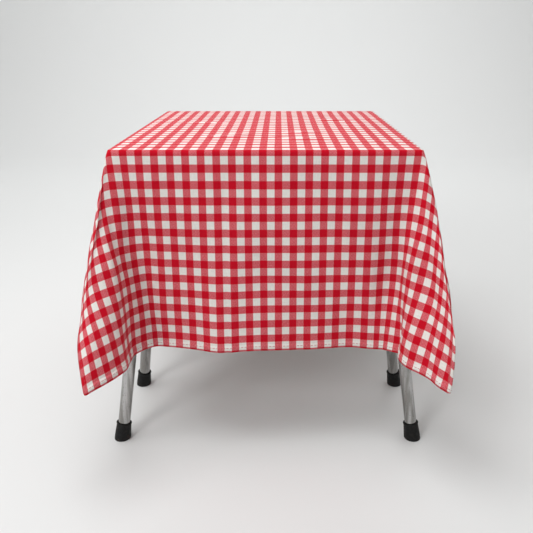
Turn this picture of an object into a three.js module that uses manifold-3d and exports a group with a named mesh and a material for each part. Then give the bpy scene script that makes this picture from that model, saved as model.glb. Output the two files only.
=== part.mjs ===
// A checked cotton tablecloth draped over a board that lies on two folding steel trestles.
// Millimetres, +Z up. The origin is on the floor under the middle of the board; +X runs along
// the front edge to the right and +Y runs away from the front edge.

import * as THREE from 'three';
import { mergeVertices } from 'three/addons/utils/BufferGeometryUtils.js';
import Module from 'manifold-3d';

const wasm = await Module();
wasm.setup();

// ---------------------------------------------------------------- driving dimensions

const fitGap = 0.3;             // between pieces that rest on or in each other

// board
const boardWidth = 700;
const boardDepth = 800;
const boardThickness = 18;
const boardTop = 737;
const bandThickness = 2;

// cloth, laid flat
const clothWidth = 1120;
const clothDepth = 1760;
const clothThickness = 3;

// How far the cloth leaves the vertical as it hangs, in millimetres out per millimetre down.
// x is away from the board's middle across its width, y away from it along its depth.
const hang = {
  frontMiddle: { x: 0, y: 0.06 },
  frontCorner: { x: -0.05, y: 0.19 },
  pleatRidge: { x: 0.05, y: 0.58 },
  pleatMiddle: { x: 0.28, y: 0.31 },
  pleatSide: { x: 0.27, y: 0.1 },
  sideCorner: { x: 0.12, y: 0 },
  sideMiddle: { x: 0.1, y: 0 },
};

// trestles
const trestleOffset = 286;      // from the board's middle to each trestle's middle
const bearerHalfLength = 300;
const bearerWidth = 76;
const bearerHeight = 64;
const boltRadius = 4;
const boltHeadRadius = 9;
const boltHeadHeight = 5;
const boltInset = 120;          // in from the bearer's ends
const boltBite = 10;            // bolt length inside the board
const boltClearance = 0.4;

// hinges at the head of each trestle
const pivotDrop = 47;           // pivots below the board's top
const pivotHeight = boardTop - pivotDrop;
const pivotOffset = 60;         // each pivot, either side of the trestle's middle
const pivotTubeRadius = 12;
const pivotTubeWall = 2;
const pivotTubeStickOut = 3;
const sleeveWall = 2.5;
const sleeveClearance = 0.5;
const bracketThickness = 4;
const bracketHalfWidth = 84;
const bracketDrop = 22;         // bracket below the pivots

// leg frames
const legRadius = 15;
const legWall = 1.5;
const legTopX = 275;            // leg axis at the height of the pivots
const footX = 375;              // leg axis at the floor
const footY = 134;              // leg axis at the floor, from the trestle's middle
const crossbarRadius = 10;
const crossbarWall = 1.5;
const crossbarHeight = 420;

// rubber ferrules
const ferruleHeight = 45;
const ferruleWall = 2.9;        // rubber round the leg, at the ferrule's mouth
const ferruleFlare = 2.3;       // wider at the sole than at the mouth
const ferruleTopRadius = legRadius + fitGap + ferruleWall;
const ferruleSoleRadius = ferruleTopRadius + ferruleFlare;
const ferruleSole = 9;          // rubber under the end of the leg

// folding stays
const stayHeight = 500;
const stayWidth = 22;
const stayThickness = 4;
const staySag = 28;             // degrees that each stay hangs below level when open
const stayPinRadius = 4;
const stayPinReach = 20;        // pin length past the stay, into the leg
const stayClearance = 2;        // between the outer stay and the leg beside it
const knuckleRadius = 3;
const knuckleClearance = 3.5;

const roundSides = 18;

// ---------------------------------------------------------------- materials

const material = (color, roughness, metalness) =>
  new THREE.MeshStandardMaterial({ color, roughness, metalness });
const cottonRed = material(0xc8283a, 0.9, 0);
const boardMelamine = material(0xe9e4da, 0.55, 0);
const bandPlastic = material(0xd8d2c4, 0.5, 0);
const beechWood = material(0xc9a26d, 0.6, 0);
const dullSteel = material(0x8d8f92, 0.38, 1);
const zincSteel = material(0xa6a9ab, 0.45, 1);
const blackRubber = material(0x1f1f1f, 0.85, 0);

const draped = new THREE.Group();

function place(name, geometry, look, parent) {
  const mesh = new THREE.Mesh(geometry, look);
  mesh.name = name;
  parent.add(mesh);
}

// ---------------------------------------------------------------- joining and cutting

function toSolid(geometry) {
  const bare = geometry.clone();
  bare.deleteAttribute('normal');
  bare.deleteAttribute('uv');
  const welded = mergeVertices(bare, 1e-4);
  return new wasm.Manifold(new wasm.Mesh({
    numProp: 3,
    vertProperties: Float32Array.from(welded.attributes.position.array),
    triVerts: Uint32Array.from(welded.index.array),
  }));
}

function toGeometry(solid) {
  const found = solid.getMesh();
  const geometry = new THREE.BufferGeometry();
  geometry.setAttribute('position', new THREE.BufferAttribute(found.vertProperties, 3));
  geometry.setIndex(new THREE.BufferAttribute(found.triVerts, 1));
  return geometry;
}

// ---------------------------------------------------------------- round bars, tubes and boxes

// The point at a distance from a on the line from a through b.
function along(a, b, distance) {
  return a.clone().addScaledVector(b.clone().sub(a).normalize(), distance);
}

// A solid of revolution from its profile of [radius, distance from a], standing from a towards b.
function turned(profile, a, b) {
  const points = profile.map(([radius, distance]) => new THREE.Vector2(radius, distance));
  const geometry = new THREE.LatheGeometry(points, roundSides);
  const axis = b.clone().sub(a).normalize();
  geometry.applyQuaternion(new THREE.Quaternion().setFromUnitVectors(new THREE.Vector3(0, 1, 0), axis));
  geometry.translate(a.x, a.y, a.z);
  return toSolid(geometry);
}

function bar(a, b, radius) {
  const length = a.distanceTo(b);
  return turned([[0, 0], [radius, 0], [radius, length], [0, length]], a, b);
}

function tube(a, b, radius, wall) {
  return bar(a, b, radius).subtract(bar(along(a, b, -1), along(b, a, -1), radius - wall));
}

function box(minX, maxX, minY, maxY, minZ, maxZ) {
  const geometry = new THREE.BoxGeometry(maxX - minX, maxY - minY, maxZ - minZ);
  geometry.translate((minX + maxX) / 2, (minY + maxY) / 2, (minZ + maxZ) / 2);
  return geometry;
}

const point = (x, y, z) => new THREE.Vector3(x, y, z);

// ---------------------------------------------------------------- tablecloth

// Every strand of the skirt hangs as a straight line from the rim of the board to the hem. Along
// the sides the strands stand next to each other; at each corner of the board they fan out from
// the corner and make one deep pleat. Each strand has its rim point, its slope and its length.

const sideDrop = (clothWidth - boardWidth) / 2;
const frontDrop = (clothDepth - boardDepth) / 2;
const rimHalfWidth = boardWidth / 2 + fitGap;
const rimHalfDepth = boardDepth / 2 + fitGap;
const strandRows = 6;
const sideStrands = 5;          // from the middle of a side to the corner
const pleatStrands = 12;

const slopeVector = ({ x, y }) => point(x, y, 0);
const pleatCurve = new THREE.CatmullRomCurve3(
  [hang.frontCorner, hang.pleatRidge, hang.pleatMiddle, hang.pleatSide, hang.sideCorner].map(slopeVector),
);

// The strands of one quarter, from the middle of the far side to the middle of the right side.
function quarterStrands() {
  const strands = [];
  for (let i = 0; i < sideStrands; i += 1) {
    const share = i / sideStrands;
    const slope = slopeVector(hang.frontMiddle).lerp(slopeVector(hang.frontCorner), share ** 2);
    strands.push({ x: rimHalfWidth * share, y: rimHalfDepth, slope, length: frontDrop });
  }
  for (let i = 0; i <= pleatStrands; i += 1) {
    const angle = (Math.PI / 2) * (i / pleatStrands);
    const slope = pleatCurve.getPoint(i / pleatStrands);
    const length = Math.min(frontDrop / Math.cos(angle), sideDrop / Math.sin(angle));
    strands.push({ x: rimHalfWidth, y: rimHalfDepth, slope, length });
  }
  for (let i = sideStrands - 1; i >= 0; i -= 1) {
    const share = i / sideStrands;
    const slope = slopeVector(hang.sideMiddle).lerp(slopeVector(hang.sideCorner), share ** 2);
    strands.push({ x: rimHalfWidth, y: rimHalfDepth * share, slope, length: sideDrop });
  }
  return strands;
}

function mirrored(strands, signX, signY) {
  return strands.map(({ x, y, slope, length }) => ({
    x: x * signX,
    y: y * signY,
    slope: point(slope.x * signX, slope.y * signY, 0),
    length,
  }));
}

// All strands, clockwise as seen from above, starting at the middle of the far side. Neighbouring
// quarters share the strand in the middle of a side.
function allStrands() {
  const quarter = quarterStrands();
  return [
    ...quarter,
    ...mirrored(quarter, 1, -1).reverse().slice(1),
    ...mirrored(quarter, -1, -1).slice(1),
    ...mirrored(quarter, -1, 1).reverse().slice(1, -1),
  ];
}

// The inner face: one list of points for each strand, from the rim to the hem.
function innerFace(strands) {
  return strands.map(({ x, y, slope, length }) => {
    const direction = point(slope.x, slope.y, -1).normalize();
    const rows = [];
    for (let row = 0; row <= strandRows; row += 1) {
      rows.push(point(x, y, boardTop + fitGap).addScaledVector(direction, length * (row / strandRows)));
    }
    return rows;
  });
}

// The outer face: the inner one moved out by the cloth's thickness, square to the cloth. At the
// rim it is moved out and up, around the board's edge.
function outerFace(inner) {
  const count = inner.length;
  const past = (value, rim) => (Math.abs(value) === rim ? value + Math.sign(value) * clothThickness : value);
  return inner.map((rows, k) => rows.map((spot, row) => {
    if (row === 0) {
      return point(past(spot.x, rimHalfWidth), past(spot.y, rimHalfDepth), spot.z + clothThickness);
    }
    const before = inner[(k + count - 1) % count][row];
    const after = inner[(k + 1) % count][row];
    const down = spot.clone().sub(rows[row - 1]);
    const out = after.clone().sub(before).cross(down).normalize();
    return spot.clone().addScaledVector(out, clothThickness);
  }));
}

// A closed surface from a list of triangles, each a list of three points.
function surface(triangles) {
  const positions = [];
  for (const corners of triangles) {
    const [a, b, c] = corners;
    const flat = a.distanceTo(b) < 1e-3 || b.distanceTo(c) < 1e-3 || c.distanceTo(a) < 1e-3;
    if (!flat) {
      corners.forEach((corner) => positions.push(corner.x, corner.y, corner.z));
    }
  }
  const geometry = new THREE.BufferGeometry();
  geometry.setAttribute('position', new THREE.Float32BufferAttribute(positions, 3));
  return geometry;
}

function clothShell() {
  const inner = innerFace(allStrands());
  const outer = outerFace(inner);
  const triangles = [];
  const quad = (a, b, c, d) => triangles.push([a, b, c], [a, c, d]);
  const topMiddle = point(0, 0, boardTop + fitGap + clothThickness);
  const underMiddle = point(0, 0, boardTop + fitGap);
  inner.forEach((_, k) => {
    const next = (k + 1) % inner.length;
    for (let row = 0; row < strandRows; row += 1) {
      quad(outer[k][row], outer[next][row], outer[next][row + 1], outer[k][row + 1]);
      quad(inner[next][row], inner[k][row], inner[k][row + 1], inner[next][row + 1]);
    }
    quad(outer[k][strandRows], outer[next][strandRows], inner[next][strandRows], inner[k][strandRows]);
    triangles.push([topMiddle, outer[next][0], outer[k][0]]);
    triangles.push([underMiddle, inner[k][0], inner[next][0]]);
  });
  return toGeometry(toSolid(surface(triangles)));
}

place('tablecloth_panel', clothShell(), cottonRed, draped);

// ---------------------------------------------------------------- board

const boardUnderside = boardTop - boardThickness;
const coreHalfWidth = boardWidth / 2 - bandThickness - fitGap;
const coreHalfDepth = boardDepth / 2 - bandThickness - fitGap;

const signs = [-1, 1];
const sideOf = (sign) => (sign < 0 ? 'left' : 'right');
const endOf = (sign) => (sign < 0 ? 'front' : 'back');

function boltPlaces() {
  const places = [];
  for (const signY of signs) {
    for (const signX of signs) {
      const x = signX * (bearerHalfLength - boltInset);
      places.push({ x, y: signY * trestleOffset, signX, signY });
    }
  }
  return places;
}

function boardCore() {
  let core = toSolid(box(-coreHalfWidth, coreHalfWidth, -coreHalfDepth, coreHalfDepth, boardUnderside, boardTop));
  for (const { x, y } of boltPlaces()) {
    const low = point(x, y, boardUnderside - 1);
    const high = point(x, y, boardUnderside + boltBite + fitGap);
    core = core.subtract(bar(low, high, boltRadius + boltClearance));
  }
  return toGeometry(core);
}

place('tabletop_board', boardCore(), boardMelamine, draped);

const halfWidth = boardWidth / 2;
const halfDepth = boardDepth / 2;
for (const sign of signs) {
  const near = sign * halfDepth;
  const far = sign * (halfDepth - bandThickness);
  place(
    `edge_band_${endOf(sign)}`,
    box(-halfWidth, halfWidth, Math.min(near, far), Math.max(near, far), boardUnderside, boardTop),
    bandPlastic,
    draped,
  );
}
for (const sign of signs) {
  const near = sign * halfWidth;
  const far = sign * (halfWidth - bandThickness);
  place(
    `edge_band_${sideOf(sign)}`,
    box(Math.min(near, far), Math.max(near, far), -coreHalfDepth, coreHalfDepth, boardUnderside, boardTop),
    bandPlastic,
    draped,
  );
}

// ---------------------------------------------------------------- trestle head

const bearerTop = boardUnderside - fitGap;
const bearerBottom = bearerTop - bearerHeight;
const bracketInner = bearerHalfLength + fitGap;
const bracketOuter = bracketInner + bracketThickness;
const sleeveRadius = pivotTubeRadius + sleeveClearance + sleeveWall;

function bearer(centreY, name) {
  let beam = toSolid(box(
    -bearerHalfLength,
    bearerHalfLength,
    centreY - bearerWidth / 2,
    centreY + bearerWidth / 2,
    bearerBottom,
    bearerTop,
  ));
  for (const sign of signs) {
    const x = sign * (bearerHalfLength - boltInset);
    const low = point(x, centreY, bearerBottom - 1);
    const high = point(x, centreY, bearerTop + 1);
    beam = beam.subtract(bar(low, high, boltRadius + boltClearance));
  }
  place(`${name}_bearer`, toGeometry(beam), beechWood, draped);
}

// A bolt from under the bearer up into the board.
function bolt(x, centreY, name) {
  const headTop = bearerBottom - fitGap;
  const head = bar(point(x, centreY, headTop - boltHeadHeight), point(x, centreY, headTop), boltHeadRadius);
  const shank = bar(point(x, centreY, headTop - 1), point(x, centreY, boardUnderside + boltBite), boltRadius);
  place(name, toGeometry(head.add(shank)), zincSteel, draped);
}

function hingeBracket(sign, centreY, name) {
  const inner = sign * bracketInner;
  const outer = sign * bracketOuter;
  let plate = toSolid(box(
    Math.min(inner, outer),
    Math.max(inner, outer),
    centreY - bracketHalfWidth,
    centreY + bracketHalfWidth,
    pivotHeight - bracketDrop,
    bearerTop,
  ));
  for (const end of signs) {
    const y = centreY + end * pivotOffset;
    const hole = bar(
      point(sign * (bracketInner - 1), y, pivotHeight),
      point(sign * (bracketOuter + 1), y, pivotHeight),
      pivotTubeRadius + fitGap,
    );
    plate = plate.subtract(hole);
  }
  place(name, toGeometry(plate), zincSteel, draped);
}

function pivotTube(centreY, end, name) {
  const y = centreY + end * pivotOffset;
  const reach = bracketOuter + pivotTubeStickOut;
  const a = point(-reach, y, pivotHeight);
  const b = point(reach, y, pivotHeight);
  place(name, toGeometry(tube(a, b, pivotTubeRadius, pivotTubeWall)), zincSteel, draped);
}

// ---------------------------------------------------------------- leg frames

// The axis of one leg, from the floor to the pivot's height.
function legAxis(centreY, end, sign) {
  return {
    foot: point(sign * footX, centreY + end * footY, 0),
    head: point(sign * legTopX, centreY + end * pivotOffset, pivotHeight),
  };
}

function pointAtHeight({ foot, head }, height) {
  return foot.clone().lerp(head, height / head.z);
}

const stayHoleRadius = stayPinRadius + fitGap;
const legAcross = legRadius / Math.cos(Math.atan((footX - legTopX) / pivotHeight));

// The plane of the outer stay's face, beside the inside of the leg at the stay's pin.
function stayPlane(axis) {
  return Math.abs(pointAtHeight(axis, stayHeight).x) - legAcross - stayClearance;
}

function sleeve(centreY, end) {
  const y = centreY + end * pivotOffset;
  const reach = bearerHalfLength - fitGap;
  return tube(point(-reach, y, pivotHeight), point(reach, y, pivotHeight), sleeveRadius, sleeveWall);
}

function leg(axis, centreY, end, sign) {
  const bottom = along(axis.foot, axis.head, ferruleSole);
  const y = centreY + end * pivotOffset;
  const cope = bar(
    point(-bearerHalfLength, y, pivotHeight),
    point(bearerHalfLength, y, pivotHeight),
    sleeveRadius + fitGap,
  );
  const pin = pointAtHeight(axis, stayHeight);
  const pinHole = bar(
    point(sign * (Math.abs(pin.x) - legRadius * 2), pin.y, pin.z),
    point(sign * Math.abs(pin.x), pin.y, pin.z),
    stayHoleRadius,
  );
  return tube(bottom, axis.head, legRadius, legWall).subtract(cope).subtract(pinHole);
}

function crossbar(left, right) {
  const a = pointAtHeight(left, crossbarHeight);
  const b = pointAtHeight(right, crossbarHeight);
  const clearOf = ({ foot, head }) => bar(foot, head, legRadius + fitGap);
  return tube(a, b, crossbarRadius, crossbarWall).subtract(clearOf(left)).subtract(clearOf(right));
}

// A rubber cup pushed over the end of the leg, worn level where it meets the floor.
function ferrule({ foot, head }) {
  const overhang = ferruleSoleRadius;
  const start = along(foot, head, -overhang);
  const cup = turned([
    [0, 0],
    [ferruleSoleRadius, 0],
    [ferruleSoleRadius, overhang + ferruleSole],
    [ferruleTopRadius, overhang + ferruleHeight],
    [legRadius + fitGap, overhang + ferruleHeight],
    [legRadius + fitGap, overhang + ferruleSole - fitGap],
    [0, overhang + ferruleSole - fitGap],
  ], start, head);
  const belowFloor = toSolid(box(
    foot.x - 2 * overhang,
    foot.x + 2 * overhang,
    foot.y - 2 * overhang,
    foot.y + 2 * overhang,
    -3 * overhang,
    0,
  ));
  return cup.subtract(belowFloor);
}

// ---------------------------------------------------------------- folding stays

const pinToMiddle = pivotOffset + (footY - pivotOffset) * (1 - stayHeight / pivotHeight);
const staySagAngle = THREE.MathUtils.degToRad(staySag);
const stayLength = pinToMiddle / Math.cos(staySagAngle);

// A flat stay with round ends, drawn from its pin at the leg to the knuckle in the middle.
function stay(axis, centreY, end, sign, isOuter) {
  const pin = pointAtHeight(axis, stayHeight);
  const shape = new THREE.Shape();
  const half = stayWidth / 2;
  shape.absarc(0, 0, half, Math.PI / 2, Math.PI * 1.5, false);
  shape.absarc(stayLength, 0, half, -Math.PI / 2, Math.PI / 2, false);
  shape.closePath();
  const geometry = new THREE.ExtrudeGeometry(shape, {
    depth: stayThickness,
    bevelEnabled: false,
    curveSegments: roundSides / 2,
  });
  // shape x runs inwards and down, shape y is across the stay, depth runs along X
  const inward = point(0, -end * Math.cos(staySagAngle), -Math.sin(staySagAngle));
  const depthAxis = point(1, 0, 0);
  const across = depthAxis.clone().cross(inward);
  const outerFacePlane = stayPlane(axis) - (isOuter ? 0 : stayThickness + fitGap);
  const lowX = sign > 0 ? outerFacePlane - stayThickness : -outerFacePlane;
  geometry.applyMatrix4(new THREE.Matrix4().makeBasis(inward, across, depthAxis));
  geometry.translate(lowX, pin.y, pin.z);
  const face = sign * outerFacePlane;
  const inset = -sign * stayThickness / 2;
  const legPin = bar(
    point(face + inset, pin.y, pin.z),
    point(sign * (stayPlane(axis) + stayPinReach), pin.y, pin.z),
    stayPinRadius,
  );
  let link = toSolid(geometry).add(legPin);
  const knuckle = pin.clone().addScaledVector(inward, stayLength);
  if (isOuter) {
    const rivet = bar(
      point(face + inset, knuckle.y, knuckle.z),
      point(sign * (stayPlane(axis) - 2 * stayThickness - 2 * fitGap), knuckle.y, knuckle.z),
      knuckleRadius,
    );
    link = link.add(rivet);
  } else {
    const eye = bar(
      point(face + sign, knuckle.y, knuckle.z),
      point(face - sign * (stayThickness + 1), knuckle.y, knuckle.z),
      knuckleRadius + knuckleClearance,
    );
    link = link.subtract(eye);
  }
  return link;
}

// ---------------------------------------------------------------- trestles

function legFrame(centreY, end, name) {
  const axes = { left: legAxis(centreY, end, -1), right: legAxis(centreY, end, 1) };
  place(`${name}_sleeve`, toGeometry(sleeve(centreY, end)), dullSteel, draped);
  place(`${name}_crossbar`, toGeometry(crossbar(axes.left, axes.right)), dullSteel, draped);
  for (const sign of signs) {
    const side = sideOf(sign);
    const axis = axes[side];
    place(`${name}_leg_${side}`, toGeometry(leg(axis, centreY, end, sign)), dullSteel, draped);
    place(`${name}_ferrule_${side}`, toGeometry(ferrule(axis)), blackRubber, draped);
    const link = stay(axis, centreY, end, sign, end < 0);
    place(`${name}_stay_${side}`, toGeometry(link), zincSteel, draped);
  }
}

for (const trestleSign of signs) {
  const centreY = trestleSign * trestleOffset;
  const trestle = trestleSign < 0 ? 'near' : 'far';
  bearer(centreY, trestle);
  for (const sign of signs) {
    bolt(sign * (bearerHalfLength - boltInset), centreY, `${trestle}_bolt_${sideOf(sign)}`);
    hingeBracket(sign, centreY, `${trestle}_bracket_${sideOf(sign)}`);
  }
  for (const end of signs) {
    pivotTube(centreY, end, `${trestle}_${endOf(end)}_pivot_tube`);
    legFrame(centreY, end, `${trestle}_${endOf(end)}`);
  }
}

export default draped;
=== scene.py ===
# A red and white checked tablecloth over a board on two folding steel trestles.
# Metres, +Z up, origin on the floor under the middle of the board, +Y away from the front edge.

import math

import bmesh
import bpy
from mathutils import Matrix, Vector, noise


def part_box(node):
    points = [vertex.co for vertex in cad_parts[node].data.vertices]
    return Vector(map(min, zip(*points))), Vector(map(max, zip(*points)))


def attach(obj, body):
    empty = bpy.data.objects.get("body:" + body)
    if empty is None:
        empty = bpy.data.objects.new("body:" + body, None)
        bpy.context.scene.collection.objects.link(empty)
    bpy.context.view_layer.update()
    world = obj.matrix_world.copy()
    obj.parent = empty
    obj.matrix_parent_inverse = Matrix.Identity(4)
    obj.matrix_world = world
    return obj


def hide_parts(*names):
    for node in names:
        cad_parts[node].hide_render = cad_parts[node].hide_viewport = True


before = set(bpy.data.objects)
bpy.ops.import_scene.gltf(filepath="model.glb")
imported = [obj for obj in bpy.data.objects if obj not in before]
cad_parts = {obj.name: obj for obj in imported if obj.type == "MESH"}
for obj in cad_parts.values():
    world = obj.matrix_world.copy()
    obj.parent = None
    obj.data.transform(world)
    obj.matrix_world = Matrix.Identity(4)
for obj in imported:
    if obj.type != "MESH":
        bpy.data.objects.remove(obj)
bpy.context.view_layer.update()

scene = bpy.context.scene
scene.view_settings.view_transform = "Standard"


# ---------------------------------------------------------------- camera
# Eye height of a person standing a step and a half in front of the table, looking down at it.

camera_data = bpy.data.cameras.new("camera")
camera_data.sensor_width = 36.0
camera_data.lens = 41.9
camera_data.shift_x = -0.0235
camera = bpy.data.objects.new("camera", camera_data)
camera.location = (0.030, -1.779, 0.969)
camera.rotation_euler = (math.radians(90.0 - 20.1), 0.0, 0.0)
scene.collection.objects.link(camera)
scene.camera = camera


# ---------------------------------------------------------------- studio
# A pale paper sweep: the floor runs back and curves up into the wall. Soft light comes from a
# panel overhead, one at the front left, one on the wall, and from the pale room all round.


def to_linear(hex_code):
    """sRGB hex to linear red, green, blue and alpha."""
    channels = [int(hex_code[i:i + 2], 16) / 255.0 for i in (0, 2, 4)]
    linear = [c / 12.92 if c <= 0.04045 else ((c + 0.055) / 1.055) ** 2.4 for c in channels]
    return (*linear, 1.0)


def add_node(material, kind, inputs=None, **settings):
    """Adds a node; each input is a plain value, or the output socket that feeds it."""
    tree = material.node_tree
    node = tree.nodes.new(kind)
    for name, value in settings.items():
        setattr(node, name, value)
    for key, value in (inputs or {}).items():
        if isinstance(value, bpy.types.NodeSocket):
            tree.links.new(value, node.inputs[key])
        else:
            node.inputs[key].default_value = value
    return node


def new_material(name):
    """An empty node material and its surface shader."""
    material = bpy.data.materials.new(name)
    material.use_nodes = True
    material.node_tree.nodes.clear()
    output = add_node(material, "ShaderNodeOutputMaterial")
    shader = add_node(material, "ShaderNodeBsdfPrincipled")
    material.node_tree.links.new(shader.outputs["BSDF"], output.inputs["Surface"])
    return material, shader


def new_piece(name, bm, material, smooth=True):
    """A finished bmesh as an object at the origin with one material."""
    mesh = bpy.data.meshes.new(name)
    bm.to_mesh(mesh)
    bm.free()
    mesh.materials.append(material)
    for polygon in mesh.polygons:
        polygon.use_smooth = smooth
    piece = bpy.data.objects.new(name, mesh)
    scene.collection.objects.link(piece)
    return piece


def paper_sweep():
    half_width = 14.0
    front = -14.0
    wall = 5.0
    bend = 1.5
    height = 5.0
    steps = 12
    outline = [(front, 0.0), (wall - bend, 0.0)]
    for step in range(1, steps + 1):
        angle = math.pi / 2 * step / steps
        outline.append((wall - bend + bend * math.sin(angle), bend - bend * math.cos(angle)))
    outline.append((wall, height))
    bm = bmesh.new()
    verts = [bm.verts.new((-half_width, y, z)) for y, z in outline]
    edges = [bm.edges.new(pair) for pair in zip(verts, verts[1:])]
    side = bmesh.ops.extrude_edge_only(bm, edges=edges)["geom"]
    moved = [element for element in side if isinstance(element, bmesh.types.BMVert)]
    bmesh.ops.translate(bm, verts=moved, vec=(2 * half_width, 0.0, 0.0))
    bmesh.ops.recalc_face_normals(bm, faces=bm.faces)
    return bm


sweep_paper, sweep_shader = new_material("matt_backdrop_paper")
sweep_shader.inputs["Base Color"].default_value = to_linear("DBDCDC")
sweep_shader.inputs["Roughness"].default_value = 0.9
sweep = new_piece("paper_sweep", paper_sweep(), sweep_paper)


def soft_panel(name, place, target, size, power):
    data = bpy.data.lights.new(name, "AREA")
    data.shape = "RECTANGLE"
    data.size = size[0]
    data.size_y = size[1]
    data.energy = power
    light = bpy.data.objects.new(name, data)
    light.location = place
    light.rotation_euler = (Vector(target) - Vector(place)).to_track_quat("-Z", "Y").to_euler()
    scene.collection.objects.link(light)


soft_panel("overhead_panel", (-0.6, -0.5, 2.8), (0.0, 0.0, 0.4), (1.6, 1.6), 40.0)
soft_panel("front_panel", (-2.0, -3.4, 2.6), (0.0, 0.0, 0.5), (1.2, 1.2), 54.0)
soft_panel("backdrop_panel", (0.0, 2.6, 4.2), (0.0, 4.6, 1.6), (5.0, 1.5), 118.0)

# The room is darker behind the camera, so that round steel shows a shaded side.
ROOM_DARK = 0.40
ROOM_BRIGHT = 0.90
world = bpy.data.worlds.new("pale_room")
world.use_nodes = True
scene.world = world
way = add_node(world, "ShaderNodeTexCoord").outputs["Generated"]
way = add_node(world, "ShaderNodeSeparateXYZ", {0: way})
inputs = {0: way.outputs[1], 1: -0.6, 2: 0.5, 3: ROOM_DARK, 4: ROOM_BRIGHT}
brightness = add_node(world, "ShaderNodeMapRange", inputs).outputs[0]
room = world.node_tree.nodes["Background"]
room.inputs["Color"].default_value = to_linear("F2F2F0")
world.node_tree.links.new(brightness, room.inputs["Strength"])


# ---------------------------------------------------------------- tablecloth
# One hemmed sheet of yarn-dyed cotton gingham, laid loose over the board. Its ends hang low at
# the front and back, its sides are short, and each corner hangs in one deep forward pleat.

rim_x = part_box("edge_band_right")[1][0]
rim_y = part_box("edge_band_back")[1][1]
board_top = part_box("tabletop_board")[1][2]
cloth_level = board_top + 0.0015
cloth_thickness = 0.0008
side_drop = 0.210
end_drop = 0.480
half_across = rim_x + side_drop
half_along = rim_y + end_drop
cells_across = 80
cells_along = 110
bias_stretch = 0.03
rim_gap = 0.003
rim_crease = 0.6

# How far the cloth leaves the vertical, in metres out per metre down, at three depths below the
# rim: sideways and forwards near the rim, half way down, and near the hem. The long end goes from
# left to right. A corner goes round from the long end to the short side, by its angle from the
# long end in degrees; there sideways is away from the board.
HANG_DEPTHS = (0.10, 0.28, 0.46)
END_HANG = [
    (-0.350, 0.147, 0.203, 0.107, 0.165, 0.084, 0.133),
    (-0.320, 0.057, 0.040, 0.044, 0.066, 0.046, 0.068),
    (-0.285, 0.010, 0.026, 0.011, -0.009, 0.022, 0.016),
    (-0.248, 0.000, 0.035, 0.000, 0.026, 0.000, 0.018),
    (-0.190, 0.000, 0.045, 0.000, 0.045, 0.000, 0.044),
    (-0.128, 0.000, 0.070, 0.000, 0.082, 0.000, 0.088),
    (-0.096, 0.000, 0.076, 0.000, 0.088, 0.000, 0.100),
    (-0.065, 0.000, 0.070, 0.000, 0.074, 0.000, 0.076),
    (0.000, 0.000, 0.060, 0.000, 0.060, 0.000, 0.062),
    (0.100, 0.000, 0.055, 0.000, 0.052, 0.000, 0.050),
    (0.190, 0.000, 0.050, 0.000, 0.038, 0.000, 0.030),
    (0.248, 0.000, 0.050, 0.000, 0.042, 0.000, 0.042),
    (0.285, -0.027, 0.020, -0.008, 0.006, -0.018, 0.043),
    (0.320, -0.043, 0.020, -0.031, 0.040, -0.050, 0.070),
    (0.350, -0.102, 0.094, -0.129, 0.119, -0.064, 0.107),
]
SIDE_HANG = [
    (-0.40, 0.12, 0.00, 0.12, 0.00, 0.12, 0.00), (-0.31, 0.05, 0.00, 0.06, 0.00, 0.06, 0.00),
    (-0.20, 0.11, 0.00, 0.12, 0.00, 0.12, 0.00), (-0.06, 0.05, 0.00, 0.05, 0.00, 0.05, 0.00),
    (0.07, 0.11, 0.00, 0.12, 0.00, 0.12, 0.00), (0.19, 0.07, 0.00, 0.06, 0.00, 0.06, 0.00),
    (0.30, 0.12, 0.00, 0.12, 0.00, 0.12, 0.00), (0.40, 0.12, 0.00, 0.12, 0.00, 0.12, 0.00),
]
LEFT_PLEAT = [
    (0, -0.147, 0.203, -0.107, 0.165, -0.084, 0.133),
    (5, -0.010, 0.190, -0.086, 0.256, -0.082, 0.231),
    (10, 0.023, 0.266, -0.074, 0.348, -0.086, 0.333),
    (16, 0.087, 0.279, 0.011, 0.406, -0.041, 0.449),
    (23.6, 0.146, 0.297, 0.115, 0.420, 0.052, 0.537),
    (31, 0.080, 0.380, 0.143, 0.439, 0.136, 0.431),
    (39, 0.200, 0.334, 0.183, 0.357, 0.125, 0.350),
    (48, 0.226, 0.120, 0.213, 0.100, 0.205, 0.080),
    (57, 0.190, 0.210, 0.190, 0.210, 0.185, 0.210),
    (68, 0.154, -0.020, 0.149, -0.030, 0.141, -0.030),
    (79, 0.135, 0.070, 0.135, 0.080, 0.130, 0.080),
    (90, 0.120, 0.000, 0.120, 0.000, 0.120, 0.000),
]
RIGHT_PLEAT = [
    (0, -0.102, 0.094, -0.129, 0.119, -0.064, 0.107),
    (5, -0.044, 0.184, -0.090, 0.187, -0.085, 0.169),
    (10, 0.005, 0.273, -0.026, 0.217, -0.061, 0.254),
    (16, 0.043, 0.295, 0.066, 0.279, 0.022, 0.323),
    (21, 0.095, 0.330, 0.085, 0.360, 0.062, 0.405),
    (23.6, 0.128, 0.300, 0.105, 0.375, 0.096, 0.455),
    (31, 0.187, 0.330, 0.152, 0.450, 0.118, 0.610),
    (39, 0.260, 0.336, 0.188, 0.382, 0.145, 0.446),
    (48, 0.220, 0.130, 0.206, 0.110, 0.205, 0.100),
    (57, 0.185, 0.220, 0.185, 0.220, 0.180, 0.220),
    (68, 0.157, -0.030, 0.150, -0.030, 0.141, -0.030),
    (79, 0.135, 0.060, 0.135, 0.080, 0.130, 0.080),
    (90, 0.120, 0.000, 0.120, 0.000, 0.120, 0.000),
]


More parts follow.
